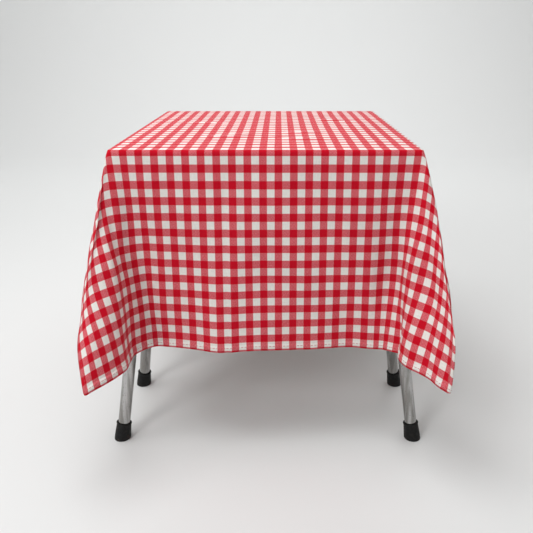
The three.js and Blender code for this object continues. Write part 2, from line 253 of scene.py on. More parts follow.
def smooth_between(table, place):
    """The values of a table at a place between its rows, on one smooth curve."""
    last = len(table) - 1
    row = 0
    while row < last - 1 and place > table[row + 1][0]:
        row += 1
    width = table[row + 1][0] - table[row][0]
    share = (place - table[row][0]) / width

    def steepness(at, column):
        before = table[max(at - 1, 0)]
        after = table[min(at + 1, last)]
        return (after[column] - before[column]) / (after[0] - before[0]) * width

    values = []
    for column in range(1, len(table[0])):
        start = table[row][column]
        rise = table[row + 1][column] - start
        value = start + rise * share * share * (3 - 2 * share)
        value += share * (share - 1) ** 2 * steepness(row, column)
        value += share * share * (share - 1) * steepness(row + 1, column)
        values.append(value)
    return values


def eased(value, low, high):
    share = max(0.0, min(1.0, (value - low) / (high - low)))
    return share * share * (3 - 2 * share)


def strand(slopes, past, way_x):
    """The direction of a strand of cloth, a length past the rim, at the front of the board."""
    upper = eased(past, HANG_DEPTHS[0], HANG_DEPTHS[1])
    lower = eased(past, HANG_DEPTHS[1], HANG_DEPTHS[2])
    shares = (1 - upper, upper * (1 - lower), upper * lower)
    out_x = sum(share * slope for share, slope in zip(shares, slopes[0::2]))
    out_y = sum(share * slope for share, slope in zip(shares, slopes[1::2]))
    return Vector((way_x * out_x, -out_y, -1.0)).normalized()


def hung_place(across, along):
    """Where a point of the flat cloth hangs. The back half is the front one turned half round."""
    if along > 0:
        place = hung_place(-across, -along)
        return Vector((-place.x, -place.y, place.z))
    past_side = abs(across) - rim_x
    past_end = abs(along) - rim_y
    way_x = math.copysign(1.0, across)
    stand_off = rim_x + rim_gap
    if past_side <= 0 and past_end <= 0:
        return Vector((across, along, cloth_level))
    if past_side <= 0:
        slopes = smooth_between(END_HANG, across)
        rim = Vector((across * stand_off / rim_x, -rim_y - rim_gap, cloth_level))
        return rim + strand(slopes, past_end, 1.0) * past_end
    if past_end <= 0:
        slopes = smooth_between(SIDE_HANG, along * way_x)
        rim = Vector((way_x * stand_off, along, cloth_level))
        return rim + strand(slopes, past_side, way_x) * past_side
    turn = math.atan2(past_side, past_end)
    past = math.hypot(past_side, past_end) * (1 + bias_stretch * math.sin(2 * turn))
    pleat = LEFT_PLEAT if across < 0 else RIGHT_PLEAT
    rim = Vector((way_x * stand_off, -rim_y - rim_gap, cloth_level))
    return rim + strand(smooth_between(pleat, math.degrees(turn)), past, way_x) * past


def flat_sheet():
    """The cut sheet laid flat. Its flat place in metres is kept as its UV map."""
    bm = bmesh.new()
    bmesh.ops.create_grid(bm, x_segments=cells_across, y_segments=cells_along, size=1.0)
    bmesh.ops.scale(bm, vec=(half_across, half_along, 1.0), verts=bm.verts)
    flat_map = bm.loops.layers.uv.new("flat")
    crease = bm.edges.layers.float.new("crease_edge")
    for face in bm.faces:
        for loop in face.loops:
            loop[flat_map].uv = loop.vert.co.xy
    touch = 1e-4
    for edge in bm.edges:
        ends = [vert.co for vert in edge.verts]
        over_end = all(abs(abs(co.y) - rim_y) < touch and abs(co.x) < rim_x + touch for co in ends)
        over_side = all(abs(abs(co.x) - rim_x) < touch and abs(co.y) < rim_y + touch for co in ends)
        edge[crease] = rim_crease if over_end or over_side else 0.0
    return bm


# Small creases that the cloth keeps from being folded away: from, to (flat place in metres),
# half width and height in metres.
CREASES = [
    ((-0.150, -0.190), (-0.060, -0.205), 0.014, 0.0022),
    ((-0.120, -0.150), (-0.045, -0.168), 0.012, 0.0014),
    ((0.020, -0.212), (0.130, -0.242), 0.014, 0.0024),
    ((0.045, -0.110), (0.125, -0.130), 0.014, 0.0020),
    ((-0.240, 0.060), (-0.130, 0.080), 0.020, 0.0030),
    ((0.150, 0.150), (0.245, 0.110), 0.022, 0.0030),
]


def crease_height(across, along):
    height = 0.0
    for start, end, half_width, tall in CREASES:
        run = Vector(end) - Vector(start)
        reach = run.length
        offset = Vector((across, along)) - Vector(start)
        way = max(0.0, min(1.0, offset.dot(run) / (reach * reach)))
        aside = (offset - run * way).length / half_width
        fade = math.sin(math.pi * (0.15 + 0.7 * way))
        height += tall * fade * math.exp(-aside * aside)
    return height


# The press crease left of the middle of each long end: its place across, how far the dip runs on
# its outer and its inner side, its depth, and how far below the rim it is fully grown.
crease_place = -0.092
crease_outer = 0.034
crease_inner = 0.011
crease_depth = 0.0046
crease_grown = 0.16


def press_crease(across, past):
    """How far the cloth dips beside the press crease of a long end."""
    outer = eased(across, crease_place - crease_outer, crease_place)
    inner = 1 - eased(across, crease_place, crease_place + crease_inner)
    return -crease_depth * outer * outer * inner * eased(past, 0.0, crease_grown)


# Heights of the waves, and how far from the rim they are fully grown.
board_wave = 0.0014
board_wave_grown = 0.03
hanging_wave = 0.0058
hanging_ripple = 0.0014
hanging_wave_grown = 0.12


def settle(mesh):
    """Soft unevenness: low waves over the board, longer hanging ones below its rim."""
    flat_map = mesh.uv_layers["flat"].data
    flat_at = [None] * len(mesh.vertices)
    for loop in mesh.loops:
        flat_at[loop.vertex_index] = flat_map[loop.index].uv.copy()
    normals = [vert.normal.copy() for vert in mesh.vertices]
    for vert, flat, normal in zip(mesh.vertices, flat_at, normals):
        across, along = flat
        past = max(abs(across) - rim_x, abs(along) - rim_y)
        if past <= 0:
            near_rim = min(1.0, -past / board_wave_grown)
            wave = 0.5 + 0.5 * noise.noise(Vector((across * 9, along * 14, 0.3)))
            lift = (board_wave * wave + max(0.0, crease_height(across, along))) * near_rim
        else:
            grown = min(1.0, past / hanging_wave_grown)
            broad = noise.noise(Vector((across * 11, along * 5, 1.7)))
            fine = noise.noise(Vector((across * 34, along * 12, 4.1)))
            lift = grown * (hanging_wave * broad + hanging_ripple * fine)
            if abs(across) < rim_x:
                lift += press_crease(across if along < 0 else -across, past)
        vert.co += normal * lift


def evaluated_mesh(piece):
    """The piece's mesh with its modifiers applied."""
    graph = bpy.context.evaluated_depsgraph_get()
    seen = piece.evaluated_get(graph)
    return bpy.data.meshes.new_from_object(seen, preserve_all_data_layers=True, depsgraph=graph)


def edge_distance(material, place, half_size):
    """How far the flat place is from the sheet's edge, along one axis."""
    size = add_node(material, "ShaderNodeMath", {0: place}, operation="ABSOLUTE")
    inputs = {0: half_size, 1: size.outputs[0]}
    return add_node(material, "ShaderNodeMath", inputs, operation="SUBTRACT").outputs[0]


def check_stripes(material, place, period, offset):
    """1 on the red stripes across one axis, 0 on the white ones between them."""
    inputs = {0: place, 1: 1 / period, 2: -offset / period}
    phase = add_node(material, "ShaderNodeMath", inputs, operation="MULTIPLY_ADD")
    away = add_node(material, "ShaderNodeMath", {0: phase.outputs[0], 1: 0.5}, operation="PINGPONG")
    soft = 0.0004 / period
    inputs = {0: away.outputs[0], 1: 0.25 - soft, 2: 0.25 + soft, 3: 1.0, 4: 0.0}
    return add_node(material, "ShaderNodeMapRange", inputs).outputs[0]


def thread_streaks(material, flat, across_scale, along_scale, seed):
    """Uneven dye and thickness along one set of threads, from 0 to 1."""
    inputs = {"Vector": flat, "Scale": (across_scale, along_scale, 1.0), "Location": (seed, seed, seed)}
    stretched = add_node(material, "ShaderNodeMapping", inputs)
    inputs = {"Vector": stretched.outputs[0], "Scale": 1.0, "Detail": 2.0}
    return add_node(material, "ShaderNodeTexNoise", inputs).outputs["Fac"]


def colour_mix(material, share, first, second, blend_type="MIX"):
    inputs = {0: share, 6: first, 7: second}
    return add_node(material, "ShaderNodeMix", inputs, data_type="RGBA", blend_type=blend_type).outputs[2]


# Plain-woven cotton, yarn dyed: red and white threads cross, so a red stripe over a white one
# shows both, and its white threads look tinted. Dry and matt, with a faint fuzz that lightens it
# at a grazing angle. A real thread is 0.35 mm; it is drawn five times as coarse so that it shows.
thread = 0.0017
column_period = 0.03423
column_offset = -0.0059
row_period = 0.0371
row_offset = -rim_y - 0.0029
hem_width = 0.013
stitch_inset = 0.0105
stitch_half_width = 0.0006
stitch_half_repeat = 0.0042
stitch_half_length = 0.0030


def gingham_cotton(name, stitched):
    material, shader = new_material(name)
    uv = add_node(material, "ShaderNodeUVMap", uv_map="flat").outputs["UV"]
    split = add_node(material, "ShaderNodeSeparateXYZ", {0: uv})
    across, along = split.outputs[0], split.outputs[1]
    columns = check_stripes(material, across, column_period, column_offset)
    rows = check_stripes(material, along, row_period, row_offset)
    white, red, tinted = to_linear("E6E3DE"), to_linear("C40B23"), to_linear("DC868D")
    warp = colour_mix(material, columns, colour_mix(material, rows, white, tinted), red)
    weft = colour_mix(material, rows, colour_mix(material, columns, white, tinted), red)
    over = add_node(material, "ShaderNodeTexChecker", {"Vector": uv, "Scale": 1 / thread})
    cloth_colour = colour_mix(material, over.outputs["Fac"], weft, warp)
    warp_streaks = thread_streaks(material, uv, 900.0, 60.0, 0.0)
    weft_streaks = thread_streaks(material, uv, 60.0, 900.0, 3.0)
    streaks = add_node(material, "ShaderNodeMath", {0: warp_streaks, 1: weft_streaks}, operation="ADD")
    shade = add_node(
        material, "ShaderNodeMapRange", {0: streaks.outputs[0], 1: 0.6, 2: 1.4, 3: 0.84, 4: 1.06}
    )
    cloth_colour = colour_mix(material, 1.0, cloth_colour, shade.outputs[0], "MULTIPLY")
    fade = add_node(material, "ShaderNodeTexNoise", {"Vector": uv, "Scale": 7.0, "Detail": 3.0})
    inputs = {0: fade.outputs["Fac"], 1: 0.3, 2: 0.7, 3: 0.94, 4: 1.0}
    fade = add_node(material, "ShaderNodeMapRange", inputs)
    cloth_colour = colour_mix(material, 1.0, cloth_colour, fade.outputs[0], "MULTIPLY")
    if stitched:
        side = edge_distance(material, across, half_across)
        end = edge_distance(material, along, half_along)
        seams = []
        for inward, run in ((side, along), (end, across)):
            inputs = {0: inward, 1: stitch_inset, 2: stitch_half_width}
            on_line = add_node(material, "ShaderNodeMath", inputs, operation="COMPARE")
            inputs = {0: run, 1: stitch_half_repeat}
            step = add_node(material, "ShaderNodeMath", inputs, operation="PINGPONG")
            inputs = {0: step.outputs[0], 1: stitch_half_length}
            dash = add_node(material, "ShaderNodeMath", inputs, operation="LESS_THAN")
            inputs = {0: on_line.outputs[0], 1: dash.outputs[0]}
            seams.append(add_node(material, "ShaderNodeMath", inputs, operation="MULTIPLY").outputs[0])
        seam = add_node(material, "ShaderNodeMath", {0: seams[0], 1: seams[1]}, operation="MAXIMUM")
        cloth_colour = colour_mix(material, seam.outputs[0], cloth_colour, to_linear("B4525A"))
    material.node_tree.links.new(cloth_colour, shader.inputs["Base Color"])
    shader.inputs["Roughness"].default_value = 0.92
    shader.inputs["Specular IOR Level"].default_value = 0.12
    shader.inputs["Sheen Weight"].default_value = 0.12
    shader.inputs["Sheen Roughness"].default_value = 0.3

    crowns = []
    for place in (across, along):
        turns = add_node(material, "ShaderNodeMath", {0: place, 1: thread / 2}, operation="PINGPONG")
        inputs = {0: turns.outputs[0], 1: 2 / thread}
        crown = add_node(material, "ShaderNodeMath", inputs, operation="MULTIPLY")
        crowns.append(crown.outputs[0])
    inputs = {0: over.outputs["Fac"], 2: crowns[1], 3: crowns[0]}
    weave = add_node(material, "ShaderNodeMix", inputs, data_type="FLOAT")
    rumple = add_node(material, "ShaderNodeTexNoise", {"Vector": uv, "Scale": 34.0, "Detail": 4.0})
    inputs = {"Strength": 0.35, "Distance": 0.0035, "Height": rumple.outputs["Fac"]}
    rumpled = add_node(material, "ShaderNodeBump", inputs)
    inputs = {"Strength": 0.3, "Distance": 0.0004, "Height": weave.outputs[0]}
    inputs["Normal"] = rumpled.outputs["Normal"]
    woven = add_node(material, "ShaderNodeBump", inputs)
    material.node_tree.links.new(woven.outputs["Normal"], shader.inputs["Normal"])
    return material


gingham_body = gingham_cotton("yarn_dyed_gingham_cotton", stitched=False)
gingham_hem = gingham_cotton("turned_and_stitched_gingham_hem", stitched=True)

tablecloth = new_piece("tablecloth", flat_sheet(), gingham_body)
for vert in tablecloth.data.vertices:
    vert.co = hung_place(vert.co.x, vert.co.y)
smoothing = tablecloth.modifiers.new("smoothing", "SUBSURF")
smoothing.levels = 1
smoothing.render_levels = 1
smoothing.uv_smooth = "NONE"
draped_mesh = evaluated_mesh(tablecloth)
tablecloth.modifiers.clear()
tablecloth.data = draped_mesh
settle(draped_mesh)

# The hem is the outer strip of the same sheet, turned twice, so three layers thick.
hem_thickness = 0.0024


def hem_strip(mesh):
    bm = bmesh.new()
    bm.from_mesh(mesh)
    flat_map = bm.loops.layers.uv["flat"]
    inner = []
    for face in bm.faces:
        middle = sum((loop[flat_map].uv for loop in face.loops), Vector((0.0, 0.0))) / len(face.loops)
        if half_across - abs(middle.x) > hem_width and half_along - abs(middle.y) > hem_width:
            inner.append(face)
    bmesh.ops.delete(bm, geom=inner, context="FACES")
    return bm


hem = new_piece("tablecloth_hem", hem_strip(draped_mesh), gingham_hem)
for piece, thickness in ((tablecloth, cloth_thickness), (hem, hem_thickness)):
    layer = piece.modifiers.new("layer", "SOLIDIFY")
    layer.thickness = thickness
    layer.offset = 0.0
    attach(piece, "tablecloth")
    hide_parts("tablecloth_panel")


# ---------------------------------------------------------------- board and edge band
# A melamine-faced chipboard panel with a thin plastic edge band glued round its four edges.
# Both are plain flat pieces, so the framed solids keep their shape and get a finish.


def melamine_face():
    """Melamine-faced board: a warm white, slightly speckled skin with a low satin gloss."""
    material, shader = new_material("satin_melamine_board")
    place = add_node(material, "ShaderNodeTexCoord").outputs["Object"]
    specks = add_node(material, "ShaderNodeTexNoise", {"Vector": place, "Scale": 420.0, "Detail": 2.0})
    colour = colour_mix(material, specks.outputs["Fac"], to_linear("DDD8CC"), to_linear("EDE9DF"))
    material.node_tree.links.new(colour, shader.inputs["Base Color"])
    shader.inputs["Roughness"].default_value = 0.45
    bump = add_node(
        material, "ShaderNodeBump", {"Strength": 0.08, "Distance": 0.0003, "Height": specks.outputs["Fac"]}
    )
    material.node_tree.links.new(bump.outputs["Normal"], shader.inputs["Normal"])
    return material


def extruded_band():
    """Extruded ABS edge band: plain, fine-grained and half matt."""
    material, shader = new_material("extruded_abs_edge_band")
    place = add_node(material, "ShaderNodeTexCoord").outputs["Object"]
    grain = add_node(material, "ShaderNodeTexNoise", {"Vector": place, "Scale": 900.0, "Detail": 1.0})
    colour = colour_mix(material, grain.outputs["Fac"], to_linear("CFC9BA"), to_linear("DAD5C8"))
    material.node_tree.links.new(colour, shader.inputs["Base Color"])
    shader.inputs["Roughness"].default_value = 0.5
    bump = add_node(
        material, "ShaderNodeBump", {"Strength": 0.1, "Distance": 0.0002, "Height": grain.outputs["Fac"]}
    )
    material.node_tree.links.new(bump.outputs["Normal"], shader.inputs["Normal"])
    return material


def refinish(node, material):
    slots = bpy.data.objects[node].material_slots
    for slot in slots:
        slot.material = material
    if not slots:
        bpy.data.objects[node].data.materials.append(material)


melamine = melamine_face()
edge_plastic = extruded_band()
refinish("tabletop_board", melamine)
for side in ("front", "back", "left", "right"):
    refinish(f"edge_band_{side}", edge_plastic)


# ---------------------------------------------------------------- leg tubes
# Welded round steel tube, 30 mm across, two splayed legs to a frame. Each leg's head is cut to
# saddle the sleeve above it. The chrome has dulled, the steel is rubbed and scuffed, and darker
# streaks along each tube are painted reflections.

trestle_offset = 0.286
pivot_offset = 0.060
pivot_height = 0.690
foot_x = 0.375
foot_y = 0.134
leg_top_x = 0.275
leg_radius = 0.0150
leg_wall = 0.0015
sleeve_radius = 0.0150
round_steps = 48
TRESTLES = {"near": -1, "far": 1}
FRAMES = {"front": -1, "back": 1}
SIDES = {"left": -1, "right": 1}


def frames():
    """Every leg frame: its name, the middle of its trestle, and which way its feet stand out."""
    for trestle, way in TRESTLES.items():
        for end, out in FRAMES.items():
            yield f"{trestle}_{end}", way * trestle_offset, out


def leg_line(middle, out, side):
    """The foot and the head of a leg's axis."""
    foot = Vector((side * foot_x, middle + out * foot_y, 0.0))
    head = Vector((side * leg_top_x, middle + out * pivot_offset, pivot_height))
    return foot, head


def at_height(line, height):
    foot, head = line
    return foot.lerp(head, height / head.z)


def turned(profile, start, end, steps=round_steps, rounding=0.0):
    """Spins a profile of (radius, distance) about the line from start towards end."""
    bm = bmesh.new()
    verts = [bm.verts.new((radius, 0.0, distance)) for radius, distance in profile]
    closed = profile[0][0] > 0
    pairs = list(zip(verts, verts[1:]))
    if closed:
        pairs.append((verts[-1], verts[0]))
    for pair in pairs:
        bm.edges.new(pair)
    if rounding:
        corners = [vert for vert in verts if vert.co.x > 0]
        bmesh.ops.bevel(
            bm, geom=corners, affect="VERTICES", offset=rounding, segments=3, profile=0.5, material=-1
        )
    bmesh.ops.spin(
        bm, geom=bm.verts[:] + bm.edges[:], axis=(0, 0, 1), cent=(0, 0, 0),
        angle=2 * math.pi, steps=steps, use_merge=True,
    )
    bmesh.ops.remove_doubles(bm, verts=bm.verts, dist=1e-6)
    bmesh.ops.recalc_face_normals(bm, faces=bm.faces)
    axis = (Vector(end) - Vector(start)).normalized()
    turn = Vector((0, 0, 1)).rotation_difference(axis).to_matrix().to_4x4()
    bmesh.ops.transform(bm, matrix=Matrix.Translation(start) @ turn, verts=bm.verts)
    return bm


def tube_profile(length, radius, wall):
    return [(radius, 0.0), (radius, length), (radius - wall, length), (radius - wall, 0.0)]


def saddle(verts, way, start, end, radius):
    """Slides each vertex along a direction until it meets the surface of a round bar."""
    way = Vector(way).normalized()
    bar = (Vector(end) - Vector(start)).normalized()
    for vert in verts:
        away = vert.co - Vector(start)
        away -= bar * away.dot(bar)
        step = way - bar * way.dot(bar)
        a = step.dot(step)
        b = 2 * step.dot(away)
        c = away.dot(away) - radius * radius
        inside = max(0.0, b * b - 4 * a * c)
        vert.co += way * ((-b - math.sqrt(inside)) / (2 * a))


def softened(piece, sharp_angle=35.0):
    """Smooth shading with a crisp break at every real corner."""
    piece.data.set_sharp_from_angle(angle=math.radians(sharp_angle))
    return piece


# Dulled chromed steel tube: smooth and reflective, with fine draw marks, darker bands along its
# length that are painted reflection streaks, and small dark pits. The scales given stretch the
# pattern along the tube.
def dulled_tube_steel(name, lengthwise):
    material, shader = new_material(name)
    place = add_node(material, "ShaderNodeTexCoord").outputs["Object"]
    stain = add_node(material, "ShaderNodeTexNoise", {"Vector": place, "Scale": 26.0, "Detail": 6.0})
    stretched = add_node(material, "ShaderNodeMapping", {"Vector": place, "Scale": lengthwise})
    bands = {"Vector": stretched.outputs[0], "Scale": 75.0, "Detail": 2.0}
    band = add_node(material, "ShaderNodeTexNoise", bands)
    painted_reflection_streaks = add_node(
        material, "ShaderNodeMapRange", {0: band.outputs["Fac"], 1: 0.40, 2: 0.60, 3: 0.0, 4: 1.0}
    )
    draw = add_node(
        material, "ShaderNodeTexNoise", {"Vector": stretched.outputs[0], "Scale": 700.0, "Detail": 2.0}
    )
    pitted = add_node(material, "ShaderNodeTexNoise", {"Vector": place, "Scale": 320.0, "Detail": 3.0})
    pits = add_node(
        material, "ShaderNodeMapRange", {0: pitted.outputs["Fac"], 1: 0.62, 2: 0.72, 3: 0.0, 4: 1.0}
    )
    # The darker bands along the tube, mixed into the base colour, are painted reflection streaks.
    colour = colour_mix(material, painted_reflection_streaks.outputs[0], to_linear("B8B7B6"), to_linear("8C8A87"))
    colour = colour_mix(material, pits.outputs[0], colour, to_linear("5E554E"))
    material.node_tree.links.new(colour, shader.inputs["Base Color"])
    shader.inputs["Metallic"].default_value = 1.0
    rough = add_node(
        material, "ShaderNodeMapRange", {0: stain.outputs["Fac"], 1: 0.3, 2: 0.7, 3: 0.12, 4: 0.26}
    )
    material.node_tree.links.new(rough.outputs[0], shader.inputs["Roughness"])
    bump = add_node(
        material, "ShaderNodeBump", {"Strength": 0.25, "Distance": 0.0002, "Height": draw.outputs["Fac"]}
    )
    dents = {"Strength": 0.3, "Distance": 0.0003, "Height": pits.outputs[0], "Normal": bump.outputs[0]}
    dented = add_node(material, "ShaderNodeBump", dents, invert=True)
    material.node_tree.links.new(dented.outputs["Normal"], shader.inputs["Normal"])
    return material


tube_steel = dulled_tube_steel("dulled_chromed_tube_steel", (1.0, 1.0, 0.05))
ferrule_sole = 0.009
saddle_top = 0.020


def leg_tube(line, middle, out):
    foot, head = line
    way = (head - foot).normalized()
    bottom = foot + way * ferrule_sole
    length = (head - bottom).length - saddle_top
    bm = turned(tube_profile(length, leg_radius, leg_wall), bottom, head)
    top = [vert for vert in bm.verts if (vert.co - bottom).dot(way) > length - 1e-4]
    y = middle + out * pivot_offset
    saddle(top, way, (-1.0, y, pivot_height), (1.0, y, pivot_height), sleeve_radius)
    return bm


for name, middle, out in frames():
    for side, sign in SIDES.items():
        line = leg_line(middle, out, sign)
        leg = softened(new_piece(f"{name}_leg_tube_{side}", leg_tube(line, middle, out), tube_steel))
        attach(leg, f"{name}_frame")
        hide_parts(f"{name}_leg_{side}")


# ---------------------------------------------------------------- sleeves and crossbars
# Each frame's legs are welded under a sleeve that turns on the pivot tube, and a thinner round
# crossbar is welded between them below the middle.

sleeve_wall = 0.0025
sleeve_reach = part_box("near_front_sleeve")[1][0]
crossbar_height = 0.420
crossbar_radius = 0.010
crossbar_wall = 0.0015
level_steel = dulled_tube_steel("dulled_chromed_crossbar_steel", (0.05, 1.0, 1.0))


def sleeve_tube(middle, out):
    y = middle + out * pivot_offset
    start = Vector((-sleeve_reach, y, pivot_height))
    end = Vector((sleeve_reach, y, pivot_height))
    return turned(tube_profile(2 * sleeve_reach, sleeve_radius, sleeve_wall), start, end, rounding=0.0004)


def crossbar_tube(middle, out):
    lines = [leg_line(middle, out, sign) for sign in (-1, 1)]
    left, right = (at_height(line, crossbar_height) for line in lines)
    inset = 1.3 * leg_radius
    way = (right - left).normalized()
    length = (right - left).length - 2 * inset
    profile = tube_profile(length, crossbar_radius, crossbar_wall)
    bm = turned(profile, left + way * inset, right)
    for line, sign in zip(lines, (-1, 1)):
        ends = [vert for vert in bm.verts if vert.co.x * sign > 0]
        saddle(ends, way * sign, line[0], line[1], leg_radius)
    return bm


for name, middle, out in frames():
    parts = {"sleeve": sleeve_tube(middle, out), "crossbar": crossbar_tube(middle, out)}
    for part, bm in parts.items():
        piece = softened(new_piece(f"{name}_{part}_tube", bm, level_steel))
        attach(piece, f"{name}_frame")
        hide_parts(f"{name}_{part}")


# ---------------------------------------------------------------- ferrules
# A moulded black rubber cup pushed over the end of each leg, with a bead round its mouth. The
# floor has worn its sole level.

ferrule_height = 0.045
ferrule_top_radius = 0.0182
ferrule_sole_radius = 0.0205
mouth_bead = 0.0012


def ferrule_cup(line):
    foot, head = line
    way = (head - foot).normalized()
    overhang = ferrule_sole_radius
    mouth = leg_radius + 0.0003
    top = overhang + ferrule_height
    profile = [
        (0.0, 0.0),
        (ferrule_sole_radius, 0.0),
        (ferrule_sole_radius, overhang + ferrule_sole),
        (ferrule_top_radius, top - 3 * mouth_bead),
        (ferrule_top_radius + mouth_bead, top - 2 * mouth_bead),
        (ferrule_top_radius + mouth_bead, top),
        (mouth, top),
        (mouth, overhang + ferrule_sole - 0.0003),
        (0.0, overhang + ferrule_sole - 0.0003),
    ]
    bm = turned(profile, foot - way * overhang, head, rounding=0.0009)
    cut = bmesh.ops.bisect_plane(
        bm, geom=bm.verts[:] + bm.edges[:] + bm.faces[:], plane_co=(0, 0, 0), plane_no=(0, 0, -1),
        clear_outer=True,
    )
    rim = [element for element in cut["geom_cut"] if isinstance(element, bmesh.types.BMEdge)]
    bmesh.ops.holes_fill(bm, edges=rim, sides=0)
    bmesh.ops.bevel(
        bm, geom=rim, affect="EDGES", offset=0.0014, segments=3, profile=0.5, material=-1
    )
    bmesh.ops.recalc_face_normals(bm, faces=bm.faces)
    return bm


# Worn black rubber: deep grey-black and dull, dusty where it is scuffed, with a fine pitted skin
# and a few rusty smears from the tube.
def worn_rubber():
    material, shader = new_material("worn_moulded_black_rubber")
    shader.inputs["Specular IOR Level"].default_value = 0.3
    place = add_node(material, "ShaderNodeTexCoord").outputs["Object"]
    scuffs = add_node(material, "ShaderNodeTexNoise", {"Vector": place, "Scale": 95.0, "Detail": 7.0})
    dust = add_node(
        material, "ShaderNodeMapRange", {0: scuffs.outputs["Fac"], 1: 0.54, 2: 0.74, 3: 0.0, 4: 0.45}
    )
    smears = add_node(material, "ShaderNodeTexNoise", {"Vector": place, "Scale": 60.0, "Detail": 4.0})
    rust = add_node(
        material, "ShaderNodeMapRange", {0: smears.outputs["Fac"], 1: 0.66, 2: 0.76, 3: 0.0, 4: 0.5}
    )
    colour = colour_mix(material, dust.outputs[0], to_linear("090909"), to_linear("403E3A"))
    colour = colour_mix(material, rust.outputs[0], colour, to_linear("6B4A38"))
    material.node_tree.links.new(colour, shader.inputs["Base Color"])
    rough = add_node(
        material, "ShaderNodeMapRange", {0: scuffs.outputs["Fac"], 1: 0.3, 2: 0.7, 3: 0.5, 4: 0.85}
    )
    material.node_tree.links.new(rough.outputs[0], shader.inputs["Roughness"])
    skin = add_node(material, "ShaderNodeTexNoise", {"Vector": place, "Scale": 260.0, "Detail": 5.0})
    bump = add_node(
        material, "ShaderNodeBump", {"Strength": 0.5, "Distance": 0.0006, "Height": skin.outputs["Fac"]}
    )
    material.node_tree.links.new(bump.outputs["Normal"], shader.inputs["Normal"])
    return material


black_rubber = worn_rubber()
for name, middle, out in frames():
    for side, sign in SIDES.items():
        cup = ferrule_cup(leg_line(middle, out, sign))
        ferrule = softened(new_piece(f"{name}_rubber_ferrule_{side}", cup, black_rubber))
        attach(ferrule, f"{name}_frame")
        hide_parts(f"{name}_ferrule_{side}")


# ---------------------------------------------------------------- zinc-plated ironwork
# Folding stays stamped from flat bar, hinge brackets screwed to the bearer's ends, pivot tubes
# through them, and bolts from under the bearers up into the board.

stay_height = 0.500
stay_half_width = 0.011
stay_thickness = 0.004
stay_leg_gap = 0.002
stay_sag = math.radians(28.0)
stay_pin_radius = 0.004
stay_pin_reach = 0.006
rivet_radius = 0.003
rivet_head_radius = 0.0095
rivet_head = 0.0016
eye_radius = 0.0065
edge_round = 0.0005
fit_gap = 0.0003
pin_to_middle = pivot_offset + (foot_y - pivot_offset) * (1 - stay_height / pivot_height)
stay_length = pin_to_middle / math.cos(stay_sag)


# Zinc-plated mild steel: pale bluish grey and half matt, with faint blotches of white bloom.
def zinc_plate():
    material, shader = new_material("zinc_plated_mild_steel")
    place = add_node(material, "ShaderNodeTexCoord").outputs["Object"]
    bloom = add_node(material, "ShaderNodeTexNoise", {"Vector": place, "Scale": 48.0, "Detail": 6.0})
    share = add_node(
        material, "ShaderNodeMapRange", {0: bloom.outputs["Fac"], 1: 0.4, 2: 0.68, 3: 0.0, 4: 1.0}
    )
    colour = colour_mix(material, share.outputs[0], to_linear("A7ABAF"), to_linear("C3C2BD"))
    material.node_tree.links.new(colour, shader.inputs["Base Color"])
    shader.inputs["Metallic"].default_value = 1.0
    rough = add_node(material, "ShaderNodeMapRange", {0: share.outputs[0], 3: 0.32, 4: 0.55})
    material.node_tree.links.new(rough.outputs[0], shader.inputs["Roughness"])
    grain = add_node(material, "ShaderNodeTexNoise", {"Vector": place, "Scale": 500.0, "Detail": 2.0})
    bump = add_node(
        material, "ShaderNodeBump", {"Strength": 0.15, "Distance": 0.0003, "Height": grain.outputs["Fac"]}
    )
    material.node_tree.links.new(bump.outputs["Normal"], shader.inputs["Normal"])
    return material


zinc = zinc_plate()


def joined(target, other):
    """Adds another bmesh's geometry to the target."""
    mesh = bpy.data.meshes.new("part")
    other.to_mesh(mesh)
    other.free()
    target.from_mesh(mesh)
    bpy.data.meshes.remove(mesh)


def plate(outline, holes, thickness):
    """A flat plate with round holes, its face on the ground plane, with its edges rounded."""
    bm = bmesh.new()
    verts = [bm.verts.new((x, y, 0.0)) for x, y in outline]
    for i, vert in enumerate(verts):
        bm.edges.new((vert, verts[(i + 1) % len(verts)]))
    for x, y, radius in holes:
        bmesh.ops.create_circle(bm, segments=28, radius=radius, matrix=Matrix.Translation((x, y, 0.0)))
    bmesh.ops.triangle_fill(bm, edges=bm.edges[:], use_beauty=True, use_dissolve=False)
    bmesh.ops.recalc_face_normals(bm, faces=bm.faces)
    grown = bmesh.ops.extrude_face_region(bm, geom=bm.faces[:])["geom"]
    lifted = [element for element in grown if isinstance(element, bmesh.types.BMVert)]
    bmesh.ops.translate(bm, verts=lifted, vec=(0.0, 0.0, thickness))
    bmesh.ops.recalc_face_normals(bm, faces=bm.faces)
    corner = math.radians(60)
    rims = [edge for edge in bm.edges if len(edge.link_faces) == 2 and edge.calc_face_angle() > corner]
    bmesh.ops.bevel(
        bm, geom=rims, affect="EDGES", offset=edge_round, segments=2, profile=0.5, material=-1,
        clamp_overlap=True,
    )
    return bm


def round_ended_outline(length, half_width, steps=14):
    outline = []
    for centre, first in ((0.0, math.pi / 2), (length, -math.pi / 2)):
        for step in range(steps + 1):
            angle = first + math.pi * step / steps
            outline.append((centre + half_width * math.cos(angle), half_width * math.sin(angle)))
    return outline


def rivet_bar(start, end, radius, heads):
    """A round bar, with a low domed head of the given radius at each listed end."""
    start, end = Vector(start), Vector(end)
    bm = turned([(0.0, 0.0), (radius, 0.0), (radius, (end - start).length), (0.0, (end - start).length)],
                start, end, steps=24, rounding=0.0003)
    for at, towards in heads:
        dome = [(0.0, 0.0), (rivet_head_radius, 0.0), (rivet_head_radius, rivet_head * 0.6),
                (rivet_head_radius * 0.6, rivet_head), (0.0, rivet_head)]
        joined(bm, turned(dome, Vector(at), Vector(towards), steps=28, rounding=0.0004))
    return bm


